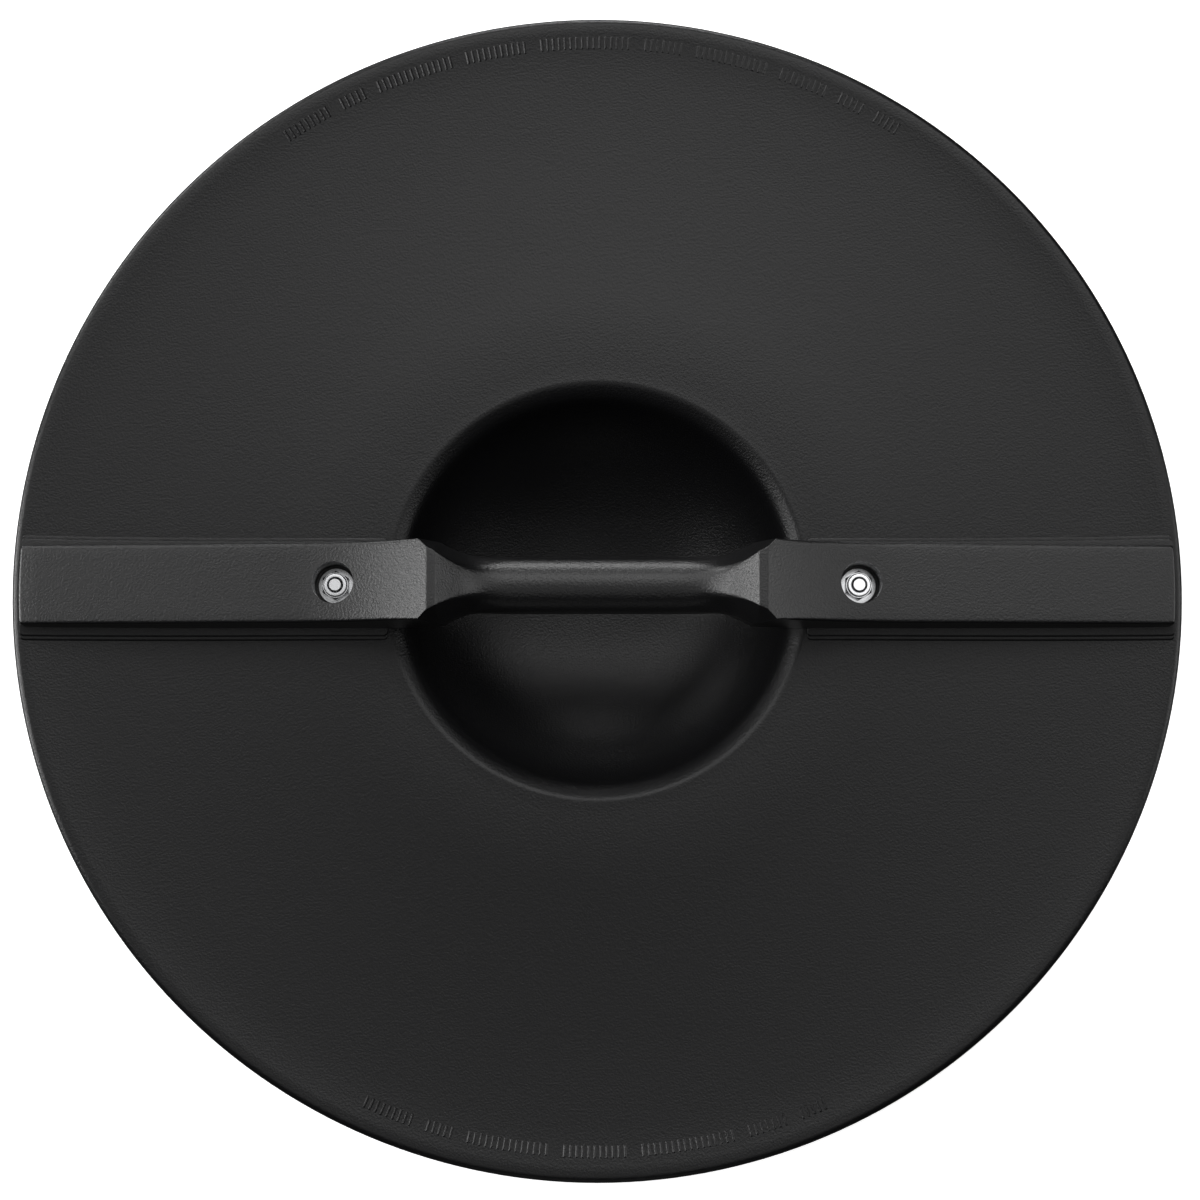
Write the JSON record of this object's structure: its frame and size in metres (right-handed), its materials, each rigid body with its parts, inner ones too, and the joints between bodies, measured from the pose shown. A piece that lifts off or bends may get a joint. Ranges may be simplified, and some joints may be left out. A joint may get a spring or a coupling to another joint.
{
  "type": "training targe",
  "caption": "Round moulded training shield with a hollow boss, a bar across its back with a round grip, and bolts with washers and lock nuts that hold the bar on.",
  "frame": {"origin": "centre of the small flat on the boss, which the shield rests on with its back upwards", "axes": "+Z out of the shield's back, towards the hand, +X along the bar, +Y across it"},
  "size_m": [0.508, 0.508, 0.108],
  "materials": {
    "disc_plastic": "black moulded polypropylene with a fine even texture",
    "bar_plastic": "black moulded polypropylene, satin",
    "plated_steel": "bright zinc plate"
  },
  "bodies": {
    "root": {"shield_disc": "disc_plastic", "handle_bar": "bar_plastic", "bolt_left": "plated_steel", "bolt_right": "plated_steel", "washer_left": "plated_steel", "washer_right": "plated_steel", "lock_nut_left": "plated_steel", "lock_nut_right": "plated_steel"}
  },
  "joints": []
}
